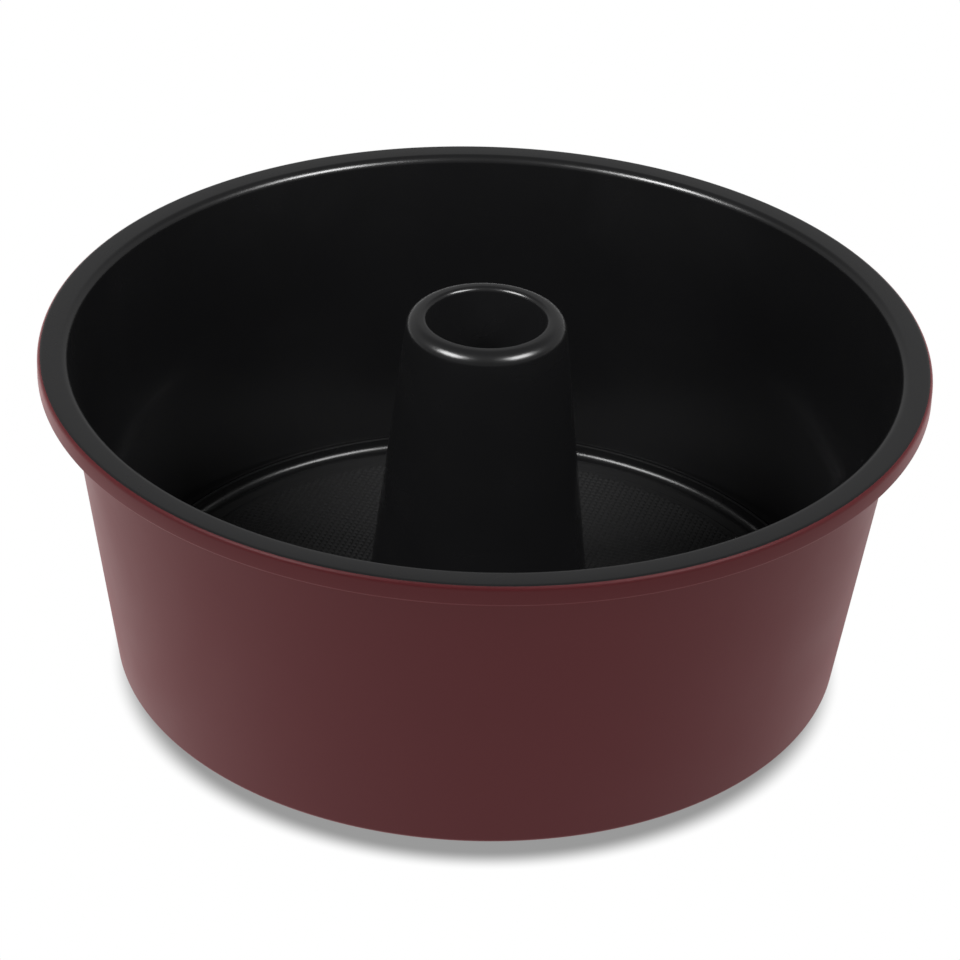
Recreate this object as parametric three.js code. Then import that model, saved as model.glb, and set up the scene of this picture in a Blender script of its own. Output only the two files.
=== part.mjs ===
// Smooth-walled tube pan with a loose base. The ring is a tapered wall with a turned-over rim and an
// inturned seat. The base insert lifts out of it: a floor plate with a tapered tube through its middle.
// Millimetres, +Z up. The origin is at the centre of the face that the pan stands on.
import * as THREE from 'three';

// Ring
const panHeight = 97.8; // top of the rim above the table
const rimRadius = 127.8; // outside of the turned-down rim
const mouthRadius = 119.4; // inside of the wall, carried up to the top of the rim
const wallFootRadius = 105.4; // inside of the wall, carried down to the seat
const ringSheet = 1.2;
const rimSkirt = 5.8; // height of the turned-down edge
const seatLip = 11; // how far the seat reaches in from the wall
const mouthBend = 1.2; // inside bend radii, as sheet metal is drawn
const rimBend = 0.3;
const seatBend = 0.4;

// Coats on the ring
const coat = 0.1;
const coatBond = 0.02; // keeps the coats clear of the sheet
const liningOverRim = 1 / 3; // share of the rim's outer bend that the lining covers
const bareFoot = 1 / 2; // share of the bend at the wall's foot that the enamel leaves bare

// Floor plate
const plateSheet = 1.2;
const plateClearance = 0.3; // between the plate's edge and the lined wall
const plateEdge = 3.5; // height of the upturned edge above the land
const coveBend = 2.5; // sweep from the land up to the edge
const seatLand = 5; // flat band that lies on the seat
const floorRise = 1.2; // the floor stands above the land by this much
const floorBend = 0.4;
const landBend = 0.6;

// Tube
const tubeSheet = 1.2;
const tubeRise = 9.3; // the tube's top above the rim, so the pan can stand upside down on it
const tubeTopRadius = 22.8; // outside, carried up to the top
const tubeFootRadius = 34; // outside, carried down to the foot flange
const boreRadius = 17.2;
const boreSkirt = 22; // height of the lip's turned-in edge
const lipBend = 2.6;
const boreBend = 0.2;
const footFlange = 6; // width of the flange under the floor
const footBend = 0.5;
const footClearance = 0.1; // between the foot's bend and the hole in the floor

const facets = 64;

const bareSheet = { color: 0xb4b5b8, roughness: 0.42, metalness: 1 };
const burgundyEnamel = { color: 0x5c3033, roughness: 0.42, metalness: 0 };
const blackLining = { color: 0x18181a, roughness: 0.28, metalness: 0 };
const blackFloor = { color: 0x1d1d1f, roughness: 0.45, metalness: 0 };
const blackTube = { color: 0x19191b, roughness: 0.28, metalness: 0 };

// A sheet's section as a path along the face that shows, with the sheet on its right-hand side.
// Every corner is rounded to its inside bend radius. A point keeps the number of its corner, how much
// of that bend is turned by then, from 0 to 1, and the direction through the sheet.
function bentPath(corners, sheet) {
  const places = corners.map(({ r, z }) => new THREE.Vector2(r, z));
  const heading = (i) => places[i + 1].clone().sub(places[i]).angle();
  const across = (angle) => new THREE.Vector2(Math.sin(angle), -Math.cos(angle));
  const last = corners.length - 1;

  return corners.flatMap(({ bend, steps = 2 }, corner) => {
    const place = places[corner];
    if (corner === 0) return [{ place, through: across(heading(0)), corner, turned: 1 }];
    const before = heading(corner - 1);
    if (corner === last) return [{ place, through: across(before), corner, turned: 0 }];

    const change = heading(corner) - before;
    const turn = Math.atan2(Math.sin(change), Math.cos(change));
    const side = Math.sign(turn);
    const radius = side > 0 ? bend : bend + sheet;
    const setBack = radius * Math.tan(Math.abs(turn) / 2);
    const along = new THREE.Vector2(setBack, 0).rotateAround(new THREE.Vector2(), before);
    const start = place.clone().sub(along);
    const centre = start.addScaledVector(across(before), -side * radius);
    return Array.from({ length: steps + 1 }, (_, k) => {
      const through = across(before + (turn * k) / steps);
      const onBend = centre.clone().addScaledVector(through, side * radius);
      return { place: onBend, through, corner, turned: k / steps };
    });
  });
}

const atDepth = ({ place, through }, depth) => place.clone().addScaledVector(through, depth);

// The outline between two depths of a path, the nearer one first.
function band(path, near, far) {
  const farSide = path.map((point) => atDepth(point, far));
  const nearSide = path.map((point) => atDepth(point, near));
  return [...farSide, ...nearSide.reverse()];
}

// A piece turned about Z from an outline of radius and height.
function turnedPiece(name, outline, finish) {
  const geometry = new THREE.LatheGeometry([...outline, outline[0]], facets);
  geometry.rotateX(Math.PI / 2);
  const piece = new THREE.Mesh(geometry, new THREE.MeshStandardMaterial(finish));
  piece.name = name;
  return piece;
}

// Ring: seat, wall, rim and turned-down skirt from one sheet
const seatTop = ringSheet;
const wallSlope = (mouthRadius - wallFootRadius) / (panHeight - seatTop);
const throughWall = Math.hypot(1, wallSlope); // level distance for each millimetre square to the wall
const [wallFoot, mouth, rimEdge] = [1, 2, 3]; // corners of the ring's path

const ringPath = bentPath(
  [
    { r: wallFootRadius - seatLip, z: seatTop },
    { r: wallFootRadius, z: seatTop, bend: seatBend },
    { r: mouthRadius, z: panHeight, bend: mouthBend, steps: 4 },
    { r: rimRadius, z: panHeight, bend: rimBend, steps: 3 },
    { r: rimRadius, z: panHeight - rimSkirt },
  ],
  ringSheet,
);

// The lining runs from the foot of the wall to just over the rim's outer edge.
const linedPath = ringPath.filter(
  ({ corner, turned }) =>
    (corner === wallFoot && turned === 1) ||
    corner === mouth ||
    (corner === rimEdge && turned <= liningOverRim),
);

// The enamel meets the lining there, goes round the skirt's end and down the outside of the wall, and
// stops part of the way round the bend at its foot.
function enamelLine(depth) {
  const skirtEnd = ringPath.at(-1);
  const pastEnd = (point) => point.setY(point.y - depth);
  const outside = ringPath.filter(
    ({ corner, turned }) =>
      (corner === wallFoot && turned >= bareFoot) || corner === mouth || corner === rimEdge,
  );
  const skirtFace = ringPath.slice(ringPath.indexOf(linedPath.at(-1)), -1);
  return [
    ...outside.map((point) => atDepth(point, ringSheet + depth)),
    pastEnd(atDepth(skirtEnd, ringSheet + depth)),
    pastEnd(atDepth(skirtEnd, -depth)),
    ...skirtFace.map((point) => atDepth(point, -depth)).reverse(),
  ];
}

const enamelOutline = [...enamelLine(coatBond + coat), ...enamelLine(coatBond).reverse()];

const ring = new THREE.Group();
ring.add(
  turnedPiece('side_ring', band(ringPath, 0, ringSheet), bareSheet),
  turnedPiece('nonstick_lining', band(linedPath, -coatBond - coat, -coatBond), blackLining),
  turnedPiece('outer_enamel', enamelOutline, burgundyEnamel),
);

// Floor plate: the land lies on the seat, and the edge follows the lined wall
const landTop = seatTop + plateSheet;
const floorTop = landTop + floorRise;
const floorUnderside = floorTop - plateSheet;
const edgeSetIn = (coatBond + coat + plateClearance + plateSheet) * throughWall;
const edgeRadiusAt = (z) => wallFootRadius + wallSlope * (z - seatTop) - edgeSetIn;
const coveTurn = Math.PI / 2 - Math.atan(wallSlope);
const landRadius = edgeRadiusAt(landTop) - coveBend * Math.tan(coveTurn / 2);
const riserFoot = landRadius - seatLand;
const holeRadius = tubeFootRadius + footBend + footClearance;

const platePath = bentPath(
  [
    { r: holeRadius, z: floorTop },
    { r: riserFoot - floorRise, z: floorTop, bend: floorBend },
    { r: riserFoot, z: landTop, bend: landBend },
    { r: edgeRadiusAt(landTop), z: landTop, bend: coveBend, steps: 5 },
    { r: edgeRadiusAt(landTop + plateEdge), z: landTop + plateEdge },
  ],
  plateSheet,
);

// Tube: turned-in lip, tapered wall and a foot flange that lies against the floor's underside
const tubeTop = panHeight + tubeRise;
const tubePath = bentPath(
  [
    { r: boreRadius, z: tubeTop - boreSkirt },
    { r: boreRadius, z: tubeTop, bend: boreBend },
    { r: tubeTopRadius, z: tubeTop, bend: lipBend, steps: 4 },
    { r: tubeFootRadius, z: floorUnderside, bend: footBend },
    { r: tubeFootRadius + footFlange, z: floorUnderside },
  ],
  tubeSheet,
);

const baseInsert = new THREE.Group();
baseInsert.add(
  turnedPiece('base_plate', band(platePath, 0, plateSheet), blackFloor),
  turnedPiece('center_tube', band(tubePath, 0, tubeSheet), blackTube),
);

const tubePan = new THREE.Group();
tubePan.add(ring, baseInsert);

export default tubePan;
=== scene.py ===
import math
from collections import namedtuple

import bmesh
import bpy
from mathutils import Matrix, Vector


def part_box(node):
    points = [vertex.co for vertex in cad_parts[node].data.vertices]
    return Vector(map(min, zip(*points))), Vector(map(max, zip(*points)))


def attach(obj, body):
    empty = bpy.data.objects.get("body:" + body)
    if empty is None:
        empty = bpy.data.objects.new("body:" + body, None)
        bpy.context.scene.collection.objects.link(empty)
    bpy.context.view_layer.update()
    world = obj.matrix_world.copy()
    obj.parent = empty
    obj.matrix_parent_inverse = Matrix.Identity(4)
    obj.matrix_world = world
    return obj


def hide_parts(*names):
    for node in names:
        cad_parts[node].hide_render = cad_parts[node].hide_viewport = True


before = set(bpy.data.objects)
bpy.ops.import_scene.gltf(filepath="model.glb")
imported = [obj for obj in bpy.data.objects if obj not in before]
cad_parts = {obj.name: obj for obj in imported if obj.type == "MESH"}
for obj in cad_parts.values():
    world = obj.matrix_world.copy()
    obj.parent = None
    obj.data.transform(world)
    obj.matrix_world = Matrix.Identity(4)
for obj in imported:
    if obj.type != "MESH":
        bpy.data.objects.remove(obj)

scene = bpy.context.scene
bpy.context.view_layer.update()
print("frame loaded:", ", ".join(sorted(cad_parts)))

# camera at the photo's angle, found from the rim, base and tube ellipses
cameraSet = {
    "place": (-0.00034, -0.99912, 0.66019),
    "tilt": 58.695,  # degrees from looking straight down
    "roll": 1.949,
    "lens": 150,
    "sensor": 36,
    "clip": (0.01, 100),
}
camera = bpy.data.objects.new("photoCamera", bpy.data.cameras.new("photoCamera"))
camera.data.lens = cameraSet["lens"]
camera.data.sensor_width = cameraSet["sensor"]
camera.data.clip_start, camera.data.clip_end = cameraSet["clip"]
camera.matrix_world = (
    Matrix.Translation(cameraSet["place"])
    @ Matrix.Rotation(math.radians(cameraSet["tilt"]), 4, "X")
    @ Matrix.Rotation(math.radians(cameraSet["roll"]), 4, "Z")
)
scene.collection.objects.link(camera)
scene.camera = camera
scene.view_settings.view_transform = "Standard"
print("camera placed")

turnSteps = 256  # faces round the pan's axis
coatStops = 6  # a bend has a point at each sixth, so a coat can end half or a third of the way
nearly = 1e-6

# a point has the direction through the sheet, its corner's number and the share of the bend turned
pathPoint = namedtuple("pathPoint", "place through corner turned")


# section of a sheet from corners of radius, height and inside bend radius, the sheet on its right
def bentPath(corners, sheet, arcStep=7.5):
    places = [Vector(corner[:2]) for corner in corners]
    headings = [math.atan2(*(b - a).yx) for a, b in zip(places, places[1:])]

    def across(angle):
        return Vector((math.sin(angle), -math.cos(angle)))

    path = [pathPoint(places[0], across(headings[0]), 0, 1.0)]
    for i in range(1, len(corners) - 1):
        before = headings[i - 1]
        turn = (headings[i] - before + math.pi) % (2 * math.pi) - math.pi
        side = math.copysign(1, turn)
        bend = corners[i][2]
        radius = bend if side > 0 else bend + sheet
        setBack = radius * math.tan(abs(turn) / 2)
        start = places[i] - setBack * Vector((math.cos(before), math.sin(before)))
        centre = start - side * radius * across(before)
        steps = coatStops * math.ceil(math.degrees(abs(turn)) / arcStep / coatStops)
        for k in range(steps + 1):
            through = across(before + turn * k / steps)
            path.append(pathPoint(centre + side * radius * through, through, i, k / steps))
    path.append(pathPoint(places[-1], across(headings[-1]), len(corners) - 1, 0.0))
    return path


def atDepth(path, depth):
    return [point.place + point.through * depth for point in path]


# half-round end of a sheet, from the showing face to the hidden one
def roundedEnd(path, sheet, extra=0.0, steps=8):
    through = path[-1].through
    onward = Vector((-through.y, through.x))
    middle = path[-1].place + through * (sheet / 2)
    reach = sheet / 2 + extra
    return [
        middle + reach * (-math.cos(a) * through + math.sin(a) * onward)
        for a in (math.pi * k / steps for k in range(1, steps))
    ]


def turnedRings(mesh, outline):
    turns = [2 * math.pi * s / turnSteps for s in range(turnSteps)]
    return [
        [mesh.verts.new((p.x * math.cos(a), p.x * math.sin(a), p.y)) for a in turns]
        for p in outline
    ]


def bridgeRings(mesh, ringA, ringB):
    for s in range(len(ringA)):
        mesh.faces.new((ringA[s - 1], ringA[s], ringB[s], ringB[s - 1]))


def turnedMesh(outline):
    mesh = bmesh.new()
    rings = turnedRings(mesh, outline)
    for k in range(len(rings)):
        bridgeRings(mesh, rings[k - 1], rings[k])
    return mesh


def makePiece(name, mesh, material, body, node, sharpFrom=32):
    bmesh.ops.recalc_face_normals(mesh, faces=mesh.faces)
    for edge in mesh.edges:
        edge.smooth = edge.calc_face_angle(0) < math.radians(sharpFrom)
    data = bpy.data.meshes.new(name)
    mesh.to_mesh(data)
    mesh.free()
    data.materials.append(material)
    piece = bpy.data.objects.new(name, data)
    scene.collection.objects.link(piece)
    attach(piece, body)
    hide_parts(node)
    print("piece made:", name, len(data.polygons), "faces")


# shared surface effects
def newGroup(name, inputs, outputs):
    tree = bpy.data.node_groups.new(name, "ShaderNodeTree")
    for label, value in inputs:
        socket = tree.interface.new_socket(label, in_out="INPUT", socket_type="NodeSocketFloat")
        socket.default_value = value
    for label in outputs:
        tree.interface.new_socket(label, in_out="OUTPUT", socket_type="NodeSocketFloat")
    source, sink = tree.nodes.new("NodeGroupInput"), tree.nodes.new("NodeGroupOutput")
    return tree, source, sink


# pebbled skin of a sprayed and baked coat: Height for bump, Tone for colour
def makeCoatPeel(peelDetail=1.5, cloudDetail=4):
    inputs, outputs = [("Peel Scale", 900), ("Cloud Scale", 14)], ["Height", "Tone"]
    tree, source, sink = newGroup("coatPeel", inputs, outputs)
    where = tree.nodes.new("ShaderNodeTexCoord")
    peel, cloud = tree.nodes.new("ShaderNodeTexNoise"), tree.nodes.new("ShaderNodeTexNoise")
    peel.inputs["Detail"].default_value = peelDetail
    cloud.inputs["Detail"].default_value = cloudDetail
    for noise, label, out in ((peel, "Peel Scale", "Height"), (cloud, "Cloud Scale", "Tone")):
        tree.links.new(where.outputs["Object"], noise.inputs["Vector"])
        tree.links.new(source.outputs[label], noise.inputs["Scale"])
        tree.links.new(noise.outputs["Fac"], sink.inputs[out])
    return tree


# faint marks of wiping, which only change the gloss
def makeWipeMarks(detail=5, distortion=0.8, contrast=(0.3, 0.7)):
    inputs = [("Scale", 30), ("Low", 0.2), ("High", 0.3)]
    tree, source, sink = newGroup("wipeMarks", inputs, ["Roughness"])
    where = tree.nodes.new("ShaderNodeTexCoord")
    noise, span = tree.nodes.new("ShaderNodeTexNoise"), tree.nodes.new("ShaderNodeMapRange")
    noise.inputs["Detail"].default_value = detail
    noise.inputs["Distortion"].default_value = distortion
    span.inputs["From Min"].default_value, span.inputs["From Max"].default_value = contrast
    tree.links.new(where.outputs["Object"], noise.inputs["Vector"])
    tree.links.new(source.outputs["Scale"], noise.inputs["Scale"])
    tree.links.new(noise.outputs["Fac"], span.inputs["Value"])
    tree.links.new(source.outputs["Low"], span.inputs["To Min"])
    tree.links.new(source.outputs["High"], span.inputs["To Max"])
    tree.links.new(span.outputs["Result"], sink.inputs["Roughness"])
    return tree


coatPeel, wipeMarks = makeCoatPeel(), makeWipeMarks()


def placeGroup(tree, group, **values):
    node = tree.nodes.new("ShaderNodeGroup")
    node.node_tree = group
    for label, value in values.items():
        node.inputs[label.replace("_", " ")].default_value = value
    return node


# a value that eases from one figure to another
def addSpan(tree, value, between, figures):
    span = tree.nodes.new("ShaderNodeMapRange")
    span.interpolation_type = "SMOOTHSTEP"
    span.inputs["From Min"].default_value, span.inputs["From Max"].default_value = between
    span.inputs["To Min"].default_value, span.inputs["To Max"].default_value = figures
    tree.links.new(value, span.inputs["Value"])
    return span


# distance from the pan's axis, or from two upright lines that lie in front of it and behind it
def addRadius(tree, apart=0.0):
    where, mirrored = tree.nodes.new("ShaderNodeTexCoord"), tree.nodes.new("ShaderNodeVectorMath")
    mirrored.operation = "ABSOLUTE"
    flat, radius = tree.nodes.new("ShaderNodeVectorMath"), tree.nodes.new("ShaderNodeVectorMath")
    flat.operation = "MULTIPLY_ADD"
    flat.inputs[1].default_value = (1, 1, 0)
    flat.inputs[2].default_value = (0, -apart, 0)
    radius.operation = "LENGTH"
    tree.links.new(where.outputs["Object"], mirrored.inputs[0])
    tree.links.new(mirrored.outputs[0], flat.inputs[0])
    tree.links.new(flat.outputs[0], radius.inputs[0])
    return radius.outputs["Value"]


def addHeight(tree):
    where, parts = tree.nodes.new("ShaderNodeTexCoord"), tree.nodes.new("ShaderNodeSeparateXYZ")
    tree.links.new(where.outputs["Object"], parts.inputs[0])
    return parts.outputs["Z"]


# makes part of a coat duller, from one radius or height to another
def addDulling(tree, value, between, extra):
    roughness = tree.nodes["Principled BSDF"].inputs["Roughness"]
    span, total = addSpan(tree, value, between, (0, extra)), tree.nodes.new("ShaderNodeMath")
    tree.links.new(roughness.links[0].from_socket, total.inputs[0])
    tree.links.new(span.outputs["Result"], total.inputs[1])
    tree.links.new(total.outputs[0], roughness)


def addBump(tree, height, shader, strength, distance):
    bump = tree.nodes.new("ShaderNodeBump")
    bump.inputs["Strength"].default_value = strength
    bump.inputs["Distance"].default_value = distance
    tree.links.new(height, bump.inputs["Height"])
    tree.links.new(bump.outputs["Normal"], shader.inputs["Normal"])


# the mix node has a set of sockets for each type of data, and these are the ones for colours
def addColourMix(tree):
    mix = tree.nodes.new("ShaderNodeMix")
    mix.data_type = "RGBA"
    share, first, second = mix.inputs[0], mix.inputs[6], mix.inputs[7]
    return share, first, second, mix.outputs[2]


def mixTones(tree, mask, dark, light, shader):
    share, first, second, mixed = addColourMix(tree)
    first.default_value, second.default_value = (*dark, 1), (*light, 1)
    tree.links.new(mask, share)
    tree.links.new(mixed, shader.inputs["Base Color"])


def bakedCoat(name, look):
    material = bpy.data.materials.new(name)
    material.use_nodes = True
    tree = material.node_tree
    shader = tree.nodes["Principled BSDF"]
    shader.inputs["IOR"].default_value = look["ior"]
    peel = placeGroup(tree, coatPeel, Peel_Scale=look["peelScale"], Cloud_Scale=look["cloudScale"])
    low, high = look["rough"]
    wipes = placeGroup(tree, wipeMarks, Scale=look["wipeScale"], Low=low, High=high)
    mixTones(tree, peel.outputs["Tone"], look["dark"], look["light"], shader)
    tree.links.new(wipes.outputs["Roughness"], shader.inputs["Roughness"])
    addBump(tree, peel.outputs["Height"], shader, look["peelStrength"], look["peelDepth"])
    return material


# ring: one sheet with a seat lip, tapered wall, flat rim and turned-down skirt
ringSet = {
    "sheet": 0.0012,
    "mouth": 0.1194,  # radius of the wall's inside at the rim
    "foot": 0.1054,
    "skirt": 0.0058,
    "seatLip": 0.011,
    "mouthBend": 0.0012,
    "rimBend": 0.0003,
    "seatBend": 0.0004,
    "metal": ((0.56, 0.56, 0.58), (0.66, 0.66, 0.68)),
    "rough": (0.34, 0.48),
    "linePitch": 0.0004,  # turned lines
    "lineDepth": 0.000006,
    "cloudScale": 40,
    "wipeScale": 60,
}
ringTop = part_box("side_ring")[1]
ringSheet = ringSet["sheet"]
seatTop = ringSheet
ringPath = bentPath(
    [
        (ringSet["foot"] - ringSet["seatLip"], seatTop),
        (ringSet["foot"], seatTop, ringSet["seatBend"]),
        (ringSet["mouth"], ringTop.z, ringSet["mouthBend"]),
        (ringTop.x, ringTop.z, ringSet["rimBend"]),
        (ringTop.x, ringTop.z - ringSet["skirt"] + ringSheet / 2),
    ],
    ringSheet,
)
wallFoot, mouth, rimEdge, skirtEnd = 1, 2, 3, 4  # corners of that path


def rolledAluminium(name, look):
    material = bpy.data.materials.new(name)
    material.use_nodes = True
    tree = material.node_tree
    shader = tree.nodes["Principled BSDF"]
    shader.inputs["Metallic"].default_value = 1
    phase = tree.nodes.new("ShaderNodeMath")
    phase.operation = "MULTIPLY"
    phase.inputs[1].default_value = 2 * math.pi / look["linePitch"]
    lines = tree.nodes.new("ShaderNodeMath")
    lines.operation = "SINE"
    tree.links.new(addRadius(tree), phase.inputs[0])
    tree.links.new(phase.outputs[0], lines.inputs[0])
    clouds = placeGroup(tree, coatPeel, Cloud_Scale=look["cloudScale"])
    low, high = look["rough"]
    wipes = placeGroup(tree, wipeMarks, Scale=look["wipeScale"], Low=low, High=high)
    mixTones(tree, clouds.outputs["Tone"], *look["metal"], shader)
    tree.links.new(wipes.outputs["Roughness"], shader.inputs["Roughness"])
    addBump(tree, lines.outputs[0], shader, strength=1, distance=look["lineDepth"])
    return material


makePiece(
    "ringSheet",
    turnedMesh(
        atDepth(ringPath, ringSheet)
        + roundedEnd(ringPath, ringSheet)[::-1]
        + atDepth(ringPath, 0)[::-1]
    ),
    rolledAluminium("bareAluminium", ringSet),
    "ring",
    "side_ring",
)

# black lining: from the wall's foot up over the rim
liningSet = {
    "coat": 0.0001,
    "bond": 0.00002,
    "overRim": 1 / 3,  # share of the rim's outer bend
    "dark": (0.003, 0.003, 0.0032),
    "light": (0.0042, 0.0042, 0.0045),
    "ior": 1.5,
    "rough": (0.15, 0.21),
    "dulledRim": 0.08,  # extra roughness at the rim
    "dulledDepths": (0.04, 0.006),  # below the rim, where that sets in and where it is full
    "peelScale": 700,
    "peelStrength": 0.25,
    "peelDepth": 0.00004,
    "cloudScale": 16,
    "wipeScale": 26,
}
coatFaces = (liningSet["bond"], liningSet["bond"] + liningSet["coat"])
linedPath = [
    point for point in ringPath
    if (point.corner == wallFoot and point.turned == 1)
    or point.corner == mouth
    or (point.corner == rimEdge and point.turned <= liningSet["overRim"] + nearly)
]
blackLining = bakedCoat("blackLining", liningSet)
addDulling(
    blackLining.node_tree,
    addHeight(blackLining.node_tree),
    [ringTop.z - depth for depth in liningSet["dulledDepths"]],
    liningSet["dulledRim"],
)
makePiece(
    "panLining",
    turnedMesh(atDepth(linedPath, -coatFaces[0]) + atDepth(linedPath, -coatFaces[1])[::-1]),
    blackLining,
    "ring",
    "nonstick_lining",
)

# burgundy enamel: the skirt, round its end and down the outside of the wall
enamelSet = {
    "underFoot": 0.5,  # share of the foot's bend that stays bare
    "dark": (0.103, 0.0143, 0.0177),
    "light": (0.121, 0.0167, 0.0207),
    "ior": 1.31,
    "sheen": 0.3,
    "sheenTint": (1, 0.15, 0.16),
    "rough": (0.34, 0.42),
    "peelScale": 650,
    "peelStrength": 0.2,
    "peelDepth": 0.00004,
    "cloudScale": 12,
    "wipeScale": 20,
}
hiddenPath = [
    point for point in ringPath
    if (point.corner == wallFoot and point.turned >= enamelSet["underFoot"] - nearly)
    or point.corner in (mouth, rimEdge, skirtEnd)
]
skirtPath = [
    point for point in ringPath
    if point.corner == skirtEnd
    or (point.corner == rimEdge and point.turned >= liningSet["overRim"] - nearly)
]


def enamelLine(depth):
    return (
        atDepth(hiddenPath, ringSheet + depth)
        + roundedEnd(ringPath, ringSheet, depth)[::-1]
        + atDepth(skirtPath, -depth)[::-1]
    )


burgundyEnamel = bakedCoat("burgundyEnamel", enamelSet)
enamelShader = burgundyEnamel.node_tree.nodes["Principled BSDF"]
enamelShader.inputs["Sheen Weight"].default_value = enamelSet["sheen"]
enamelShader.inputs["Sheen Tint"].default_value = (*enamelSet["sheenTint"], 1)
makePiece(
    "panEnamel",
    turnedMesh(enamelLine(coatFaces[1]) + enamelLine(coatFaces[0])[::-1]),
    burgundyEnamel,
    "ring",
    "outer_enamel",
)

# floor plate: land on the seat, coved edge along the wall, embossed floor
plateSet = {
    "sheet": 0.0012,
    "clearance": 0.0003,
    "edge": 0.0035,  # height of the upturned edge above the land
    "cove": 0.0025,
    "land": 0.005,
    "rise": 0.0012,
    "floorBend": 0.0004,
    "landBend": 0.0006,
    "embossPitch": 0.0018,
    "embossHeight": 0.00036,
    "embossTurn": 74,  # degrees from X
    "embossMargin": 0.0003,
    "embossFade": 0.002,  # width over which it dies out towards its borders
    "dulled": 0.42,  # extra roughness inside the cove and on the cut edge
    "dulledFade": (0.002, 0.0002),  # widths over which that sets in
    "dark": (0.003, 0.003, 0.0032),
    "light": (0.0042, 0.0042, 0.0045),
    "ior": 1.38,
    "rough": (0.24, 0.3),
    "peelScale": 900,
    "peelStrength": 0.2,
    "peelDepth": 0.00003,
    "cloudScale": 22,
    "wipeScale": 30,
}
plateSheet = plateSet["sheet"]
wallSlope = (ringSet["mouth"] - ringSet["foot"]) / (ringTop.z - seatTop)
setIn = (coatFaces[1] + plateSet["clearance"] + plateSheet) * math.hypot(1, wallSlope)
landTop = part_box("base_plate")[0].z + plateSheet
floorTop = landTop + plateSet["rise"]
holeRadius = min(Vector(v.co[:2]).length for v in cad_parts["base_plate"].data.vertices)


def edgeRadius(z):
    return ringSet["foot"] + wallSlope * (z - seatTop) - setIn


coveTurn = math.pi / 2 - math.atan(wallSlope)
riserFoot = edgeRadius(landTop) - plateSet["cove"] * math.tan(coveTurn / 2) - plateSet["land"]
edgeTop = landTop + plateSet["edge"]
platePath = bentPath(
    [
        (holeRadius, floorTop),
        (riserFoot - plateSet["rise"], floorTop, plateSet["floorBend"]),
        (riserFoot, landTop, plateSet["landBend"]),
        (edgeRadius(landTop), landTop, plateSet["cove"]),
        (edgeRadius(edgeTop), edgeTop),
    ],
    plateSheet,
)


# rows of little pyramids between two circles, with a flat strip along each
def embossFloor(mesh, innerRing, outerRing, look):
    half = look["embossPitch"] / 2
    spin = math.radians(look["embossTurn"])
    z = innerRing[0].co.z
    near = innerRing[0].co.xy.length + look["embossMargin"]
    far = outerRing[0].co.xy.length - look["embossMargin"]
    count = math.ceil(far / half)
    inside = {
        (i, j) for i in range(-count, count + 1) for j in range(-count, count + 1)
        if near <= half * math.hypot(i, j) <= far
    }
    cells = [
        (i, j) for i, j in sorted(inside)
        if {(i + 1, j), (i, j + 1), (i + 1, j + 1)} <= inside
    ]
    used = {(i + a, j + b) for i, j in cells for a in (0, 1) for b in (0, 1)}
    cellSet = set(cells)
    points = {}
    for i, j in sorted(used):
        x, y = half * i, half * j
        whole = all((i - a, j - b) in cellSet for a in (0, 1) for b in (0, 1))
        room = min(far - math.hypot(x, y), math.hypot(x, y) - near)
        lift = 0
        if i % 2 and j % 2 and whole:
            lift = look["embossHeight"] * min(1, room / look["embossFade"])
        turnedX = x * math.cos(spin) - y * math.sin(spin)
        turnedY = x * math.sin(spin) + y * math.cos(spin)
        points[i, j] = mesh.verts.new((turnedX, turnedY, z + lift))
    tiles = []
    for i, j in cells:
        loop = [points[i, j], points[i + 1, j], points[i + 1, j + 1], points[i, j + 1]]
        # start each loop at its pyramid's tip
        peak = (0 if j % 2 else 3) if i % 2 else (1 if j % 2 else 2)
        a, b, c, d = loop[peak:] + loop[:peak]
        tiles += [mesh.faces.new((a, b, c)), mesh.faces.new((a, c, d))]
    loose = [edge for tile in tiles for edge in tile.edges if len(edge.link_faces) == 1]
    middle = (near + far) / 2
    for ring, outer in ((innerRing, False), (outerRing, True)):
        border = [e for e in loose if (e.verts[0].co.xy.length > middle) == outer]
        border += [mesh.edges.get((ring[s - 1], ring[s])) for s in range(len(ring))]
        bmesh.ops.triangle_fill(mesh, use_beauty=True, edges=border, normal=(0, 0, 1))


# the floor inside the cove and the cut edge outside it are duller than the cove itself
def dullFloor(tree, look, coveInside, coveOutside):
    insideFade, outsideFade = look["dulledFade"]
    onFloor = (coveInside, coveInside - insideFade)
    onCutEdge = (coveOutside, coveOutside + outsideFade)
    for between in (onFloor, onCutEdge):
        addDulling(tree, addRadius(tree), between, look["dulled"])


blackFloor = bakedCoat("blackFloor", plateSet)
dullFloor(blackFloor.node_tree, plateSet, riserFoot + plateSet["land"], edgeRadius(edgeTop))
plateMesh = bmesh.new()
plateRings = turnedRings(
    plateMesh,
    atDepth(platePath, 0)[1:]
    + atDepth(platePath, plateSheet)[::-1]
    + atDepth(platePath, 0)[:1],
)
for ringA, ringB in zip(plateRings, plateRings[1:]):
    bridgeRings(plateMesh, ringA, ringB)
for face in plateMesh.faces:
    face.smooth = True
# the faces of the emboss stay flat, so each pyramid shows
embossFloor(plateMesh, plateRings[-1], plateRings[0], plateSet)
makePiece(
    "floorPlate",
    plateMesh,
    blackFloor,
    "base_insert",
    "base_plate",
)

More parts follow.
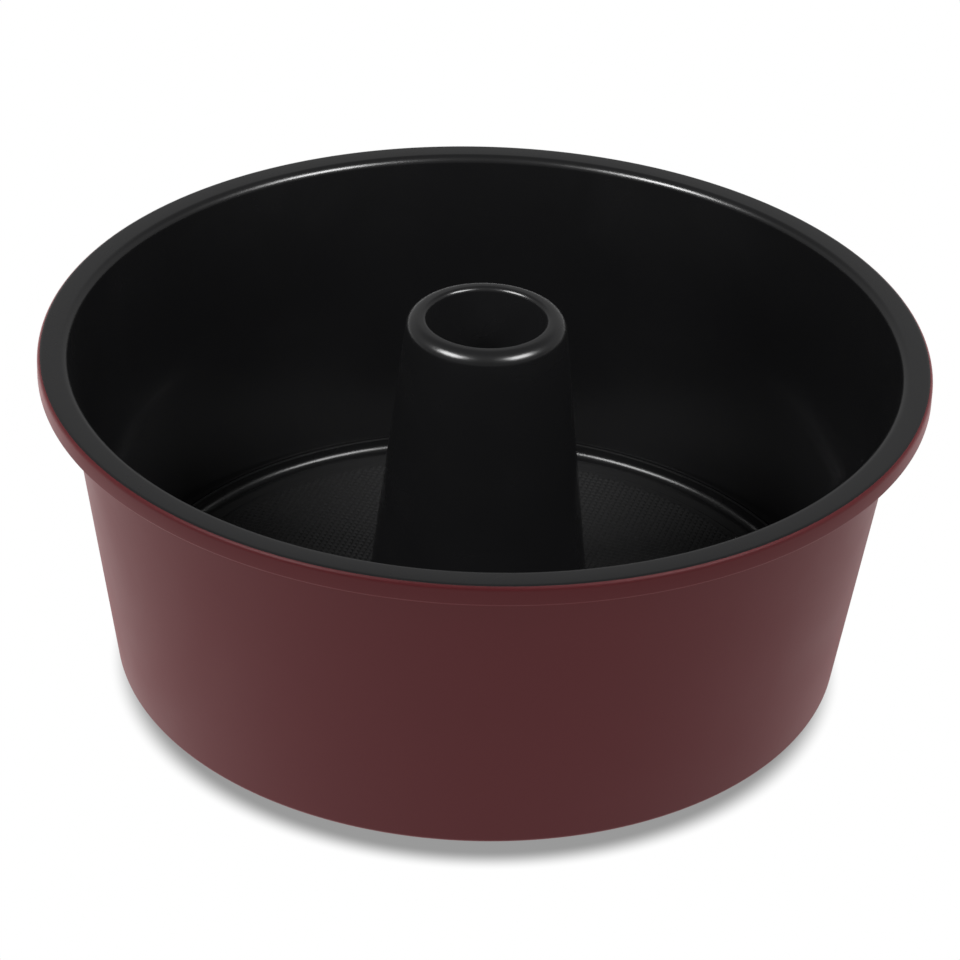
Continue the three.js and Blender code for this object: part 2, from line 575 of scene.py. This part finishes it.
# tube: turned-in lip, tapered wall, foot flange under the floor
tubeSet = {
    "sheet": 0.0012,
    "bore": 0.0172,
    "boreSkirt": 0.022,
    "topRadius": 0.0228,
    "footRadius": 0.034,
    "lipBend": 0.0026,
    "boreBend": 0.0002,
    "footBend": 0.0005,
    "dark": (0.0036, 0.0036, 0.0039),
    "light": (0.005, 0.005, 0.0053),
    "paintedBoreLight": (0.006, 0.006, 0.0064),  # painted light: a lighter colour inside the bore
    "ior": 1.5,
    "rough": (0.23, 0.29),
    "peelScale": 700,
    "peelStrength": 0.25,
    "peelDepth": 0.00004,
    "cloudScale": 24,
    "wipeScale": 34,
}
tubeLow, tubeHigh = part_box("center_tube")
tubeSheet = tubeSet["sheet"]
tubeFoot = tubeLow.z + tubeSheet  # the flange lies against the floor's underside
tubePath = bentPath(
    [
        (tubeSet["bore"], tubeHigh.z - tubeSet["boreSkirt"]),
        (tubeSet["bore"], tubeHigh.z, tubeSet["boreBend"]),
        (tubeSet["topRadius"], tubeHigh.z, tubeSet["lipBend"]),
        (tubeSet["footRadius"], tubeFoot, tubeSet["footBend"]),
        (tubeHigh.x, tubeFoot),
    ],
    tubeSheet,
)


# inside the bore the colour is lighter, painted light for the light that reaches up into it
def paintBoreLight(material, look):
    tree = material.node_tree
    colour = tree.nodes["Principled BSDF"].inputs["Base Color"]
    inside = addSpan(tree, addRadius(tree), (look["bore"] + look["boreBend"], look["bore"]), (0, 1))
    share, coated, boreLit, mixed = addColourMix(tree)
    boreLit.default_value = (*look["paintedBoreLight"], 1)
    tree.links.new(inside.outputs["Result"], share)
    tree.links.new(colour.links[0].from_socket, coated)
    tree.links.new(mixed, colour)


blackTube = bakedCoat("blackTube", tubeSet)
paintBoreLight(blackTube, tubeSet)
makePiece(
    "middleTube",
    turnedMesh(atDepth(tubePath, tubeSheet) + atDepth(tubePath, 0)[::-1]),
    blackTube,
    "base_insert",
    "center_tube",
)
# all but the plate, which has its emboss
for name in ("ringSheet", "panLining", "panEnamel", "middleTube"):
    bpy.data.objects[name].data.shade_smooth()

# pale floor, with a painted soft shadow that reaches out a little in front of the pan's foot and
# behind it
groundSet = {
    "size": 8,
    "cells": 8,
    "drop": 0.0002,  # below the pan's foot
    "white": 1.0,
    "glow": (0.84, 0.62),  # what the object sees of it at its left and at its right
    "glowBehind": 1.5,  # how much brighter that is behind the object
    "glowTurn": (0.1, 0.6),  # where it changes, 1 is straight behind
    "shadowApart": 0.0106,  # of its middle from the pan's axis
    "shadowRadius": (0.0995, 0.1085),  # where it starts to fade and where it ends
    "shadowTone": 0.316,
}
groundMesh = bmesh.new()
bmesh.ops.create_grid(
    groundMesh, x_segments=groundSet["cells"], y_segments=groundSet["cells"], size=groundSet["size"]
)
groundData = bpy.data.meshes.new("paleGround")
groundMesh.to_mesh(groundData)
groundMesh.free()
ground = bpy.data.objects.new("paleGround", groundData)
ground.location.z = -groundSet["drop"]
scene.collection.objects.link(ground)

groundLook = bpy.data.materials.new("paleGround")
groundLook.use_nodes = True
tree = groundLook.node_tree
tree.nodes.remove(tree.nodes["Principled BSDF"])
shown, glow = tree.nodes.new("ShaderNodeEmission"), tree.nodes.new("ShaderNodeEmission")
where, outward = tree.nodes.new("ShaderNodeTexCoord"), tree.nodes.new("ShaderNodeVectorMath")
outward.operation = "NORMALIZE"
parts = tree.nodes.new("ShaderNodeSeparateXYZ")
sides = addSpan(tree, parts.outputs["X"], (-1, 1), groundSet["glow"])
behind = addSpan(tree, parts.outputs["Y"], groundSet["glowTurn"], (1, groundSet["glowBehind"]))
strength = tree.nodes.new("ShaderNodeMath")
strength.operation = "MULTIPLY"
# painted shadow: the brightness the camera sees drops to shadowTone round the pan's foot
paintedShadow = addSpan(
    tree,
    addRadius(tree, groundSet["shadowApart"]),
    groundSet["shadowRadius"],
    (groundSet["shadowTone"], groundSet["white"]),
)
rays, pick = tree.nodes.new("ShaderNodeLightPath"), tree.nodes.new("ShaderNodeMixShader")
tree.links.new(where.outputs["Object"], outward.inputs[0])
tree.links.new(outward.outputs["Vector"], parts.inputs[0])
tree.links.new(sides.outputs["Result"], strength.inputs[0])
tree.links.new(behind.outputs["Result"], strength.inputs[1])
tree.links.new(strength.outputs[0], glow.inputs["Strength"])
tree.links.new(paintedShadow.outputs["Result"], shown.inputs["Strength"])
tree.links.new(rays.outputs["Is Camera Ray"], pick.inputs[0])
tree.links.new(glow.outputs[0], pick.inputs[1])
tree.links.new(shown.outputs[0], pick.inputs[2])
tree.links.new(pick.outputs[0], tree.nodes["Material Output"].inputs["Surface"])
groundData.materials.append(groundLook)
print("ground laid")

# a softbox at each side with a dark gap between them, and a dim room, lighter at the horizon;
# the lining, the other black pieces and the enamel each have their own strength of softbox
lightSet = {
    "aim": (0, 0, 0.097),
    "distance": 1.2,
    "right": (0.623, -0.405, 0.669),  # directions from there
    "left": (-0.623, -0.405, 0.669),
    "size": (0.6, 0.42),
    "watts": {"right": 17.5, "left": 20.5},
    "liningWatts": {"right": 18.5, "left": 20},
    "liningSize": (0.42, 0.42),
    "enamelWatts": 5,  # only a gleam; the enamel takes the rest from the floor
    "topSize": (1, 1),
    "topWatts": 13,  # fills the enamel's upward bend
    "overhead": 0.18,
    "horizon": (0.17, 0.36),  # in front and behind
    "horizonTurn": (-0.3, 0.3),  # where it changes between them, -1 is straight in front
    "heights": (0.5, 0.72),  # sine of the angle at which the room starts and ends darkening
}


def litGroup(name, *pieces):
    group = bpy.data.collections.new(name)
    for piece in pieces:
        group.objects.link(bpy.data.objects[piece])
    return group


def addSoftbox(name, direction, size, watts, group, diffuse=True, glossy=True):
    lamp = bpy.data.lights.new(name, "AREA")
    lamp.shape = "RECTANGLE"
    lamp.size, lamp.size_y = size
    lamp.energy = watts
    softbox = bpy.data.objects.new(name, lamp)
    outward = Vector(direction).normalized()
    softbox.location = Vector(lightSet["aim"]) + outward * lightSet["distance"]
    softbox.rotation_mode = "QUATERNION"
    softbox.rotation_quaternion = outward.to_track_quat("Z", "Y")
    softbox.light_linking.receiver_collection = group
    softbox.visible_diffuse, softbox.visible_glossy = diffuse, glossy
    scene.collection.objects.link(softbox)


blackGroup = litGroup("softboxLit", "ringSheet", "floorPlate", "middleTube")
liningGroup = litGroup("liningLit", "panLining")
enamelGroup = litGroup("gleamLit", "panEnamel")
for side in ("right", "left"):
    direction, size, watts = lightSet[side], lightSet["size"], lightSet["watts"][side]
    liningSize, liningWatts = lightSet["liningSize"], lightSet["liningWatts"][side]
    addSoftbox(side + "Softbox", direction, size, watts, blackGroup)
    addSoftbox(side + "LiningSoftbox", direction, liningSize, liningWatts, liningGroup)
    addSoftbox(side + "Gleam", direction, size, lightSet["enamelWatts"], enamelGroup, diffuse=False)
straightUp = (0, 0, 1)
addSoftbox(
    "topFill", straightUp, lightSet["topSize"], lightSet["topWatts"], enamelGroup, glossy=False
)

room = bpy.data.worlds.new("dimRoom")
room.use_nodes = True
scene.world = room
tree = room.node_tree
where, parts = tree.nodes.new("ShaderNodeTexCoord"), tree.nodes.new("ShaderNodeSeparateXYZ")
low = addSpan(tree, parts.outputs["Y"], lightSet["horizonTurn"], lightSet["horizon"])
fade = addSpan(tree, parts.outputs["Z"], lightSet["heights"], (0, lightSet["overhead"]))
tree.links.new(where.outputs["Generated"], parts.inputs[0])
tree.links.new(low.outputs["Result"], fade.inputs["To Min"])
# the camera sees it as white as the floor
rays = tree.nodes.new("ShaderNodeLightPath")
seen = addSpan(tree, rays.outputs["Is Camera Ray"], (0, 1), (0, groundSet["white"]))
tree.links.new(fade.outputs["Result"], seen.inputs["To Min"])
tree.links.new(seen.outputs["Result"], tree.nodes["Background"].inputs["Strength"])
tree.nodes["Background"].inputs["Color"].default_value = (1, 1, 1, 1)
print("lights set")
